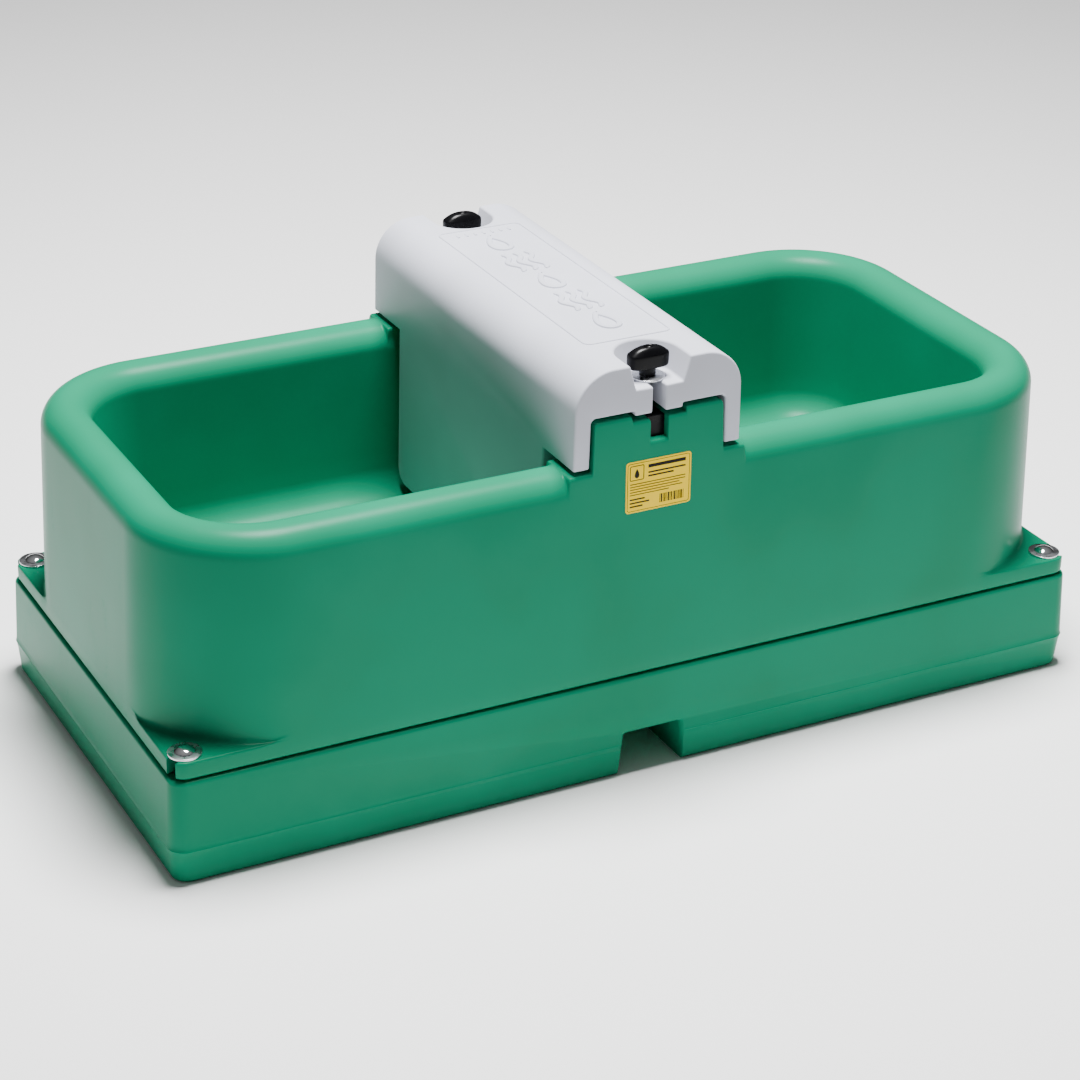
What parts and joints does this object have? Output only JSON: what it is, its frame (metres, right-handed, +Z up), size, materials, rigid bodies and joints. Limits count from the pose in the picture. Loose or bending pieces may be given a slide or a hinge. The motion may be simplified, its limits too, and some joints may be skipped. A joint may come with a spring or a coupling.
{
  "type": "insulated drinking trough",
  "caption": "Insulated double-walled drinking trough with an open basin on each side of a lift-off central cover over a float valve, bolted to a moulded base.",
  "frame": {"origin": "middle of the footprint, on the ground", "axes": "+X along the trough, -Y towards the labelled front, +Z up"},
  "size_m": [1.24, 0.587, 0.5421],
  "materials": {
    "green_plastic": "satin",
    "light_grey_plastic": "satin",
    "black_plastic": "satin",
    "stainless_steel": "satin",
    "cast_brass": "satin",
    "black_rubber": "matte",
    "yellow_label": "satin",
    "white_plastic": "satin",
    "foam_filling": "matte"
  },
  "bodies": {
    "root": {"plinth_shell": "green_plastic", "plinth_insulation": "foam_filling", "plinth_fill_plugs": "green_plastic", "plinth_inserts": "cast_brass", "base_gasket": "black_rubber", "trough_shell": "green_plastic", "trough_insulation": "foam_filling", "foam_fill_plugs": "green_plastic", "corner_bolts": "stainless_steel", "corner_washers": "stainless_steel", "rating_label": "yellow_label", "front_anchor_block": "black_plastic", "back_anchor_block": "black_plastic", "block_screws": "stainless_steel", "supply_riser": "stainless_steel", "riser_locknut": "cast_brass", "riser_seals": "black_rubber", "valve_body": "cast_brass", "valve_nozzle": "stainless_steel", "lever_pin": "stainless_steel", "drain_fitting": "black_plastic", "drain_locknut": "black_plastic", "drain_seal": "black_rubber"},
    "cover": {"cover_shell": "light_grey_plastic", "cover_insulation": "foam_filling", "cover_fill_plugs": "light_grey_plastic"},
    "front_washer": {"front_washer": "stainless_steel"},
    "front_knob": {"front_knob": "black_plastic", "front_stud": "stainless_steel"},
    "back_washer": {"back_washer": "stainless_steel"},
    "back_knob": {"back_knob": "black_plastic", "back_stud": "stainless_steel"},
    "float_arm": {"float_lever": "cast_brass", "float_rod": "stainless_steel", "rod_wing_screw": "stainless_steel", "float_ball": "white_plastic"},
    "plunger": {"valve_plunger": "white_plastic", "plunger_seal": "black_rubber"},
    "drain_plug": {"drain_plug": "black_plastic"}
  },
  "joints": [
    {"name": "cover_lift", "type": "slide", "parent": "root", "child": "cover", "axis": [0, 0, 1], "range_m": [0, 0.35]},
    {"name": "front_washer_rise", "type": "slide", "parent": "cover", "child": "front_washer", "axis": [0, 0, 1], "range_m": [0, 0.0151]},
    {"name": "front_knob_turn", "type": "hinge", "parent": "front_washer", "child": "front_knob", "pos_m": [0, -0.247, 0.5], "axis": [0, 0, 1], "range_deg": [0, 3600]},
    {"name": "back_washer_rise", "type": "slide", "parent": "cover", "child": "back_washer", "axis": [0, 0, 1], "range_m": [0, 0.0151]},
    {"name": "back_knob_turn", "type": "hinge", "parent": "back_washer", "child": "back_knob", "pos_m": [0, 0.247, 0.5], "axis": [0, 0, 1], "range_deg": [0, 3600]},
    {"name": "float_swing", "type": "hinge", "parent": "root", "child": "float_arm", "pos_m": [0, 0.058, 0.381], "axis": [-1, 0, 0], "range_deg": [0, 28]},
    {"name": "plunger_slide", "type": "slide", "parent": "root", "child": "plunger", "axis": [0, 1, 0], "range_m": [0, 0.0068]},
    {"name": "drain_plug_pull", "type": "slide", "parent": "root", "child": "drain_plug", "axis": [0, 0, 1], "range_m": [0, 0.05]}
  ],
  "couplings": [
    {"joint": "front_washer_rise", "follows": "front_knob_turn", "m_per_rad": 0.00023873},
    {"joint": "back_washer_rise", "follows": "back_knob_turn", "m_per_rad": 0.00023873},
    {"joint": "plunger_slide", "follows": "float_swing", "m_per_rad": 0.0139}
  ]
}
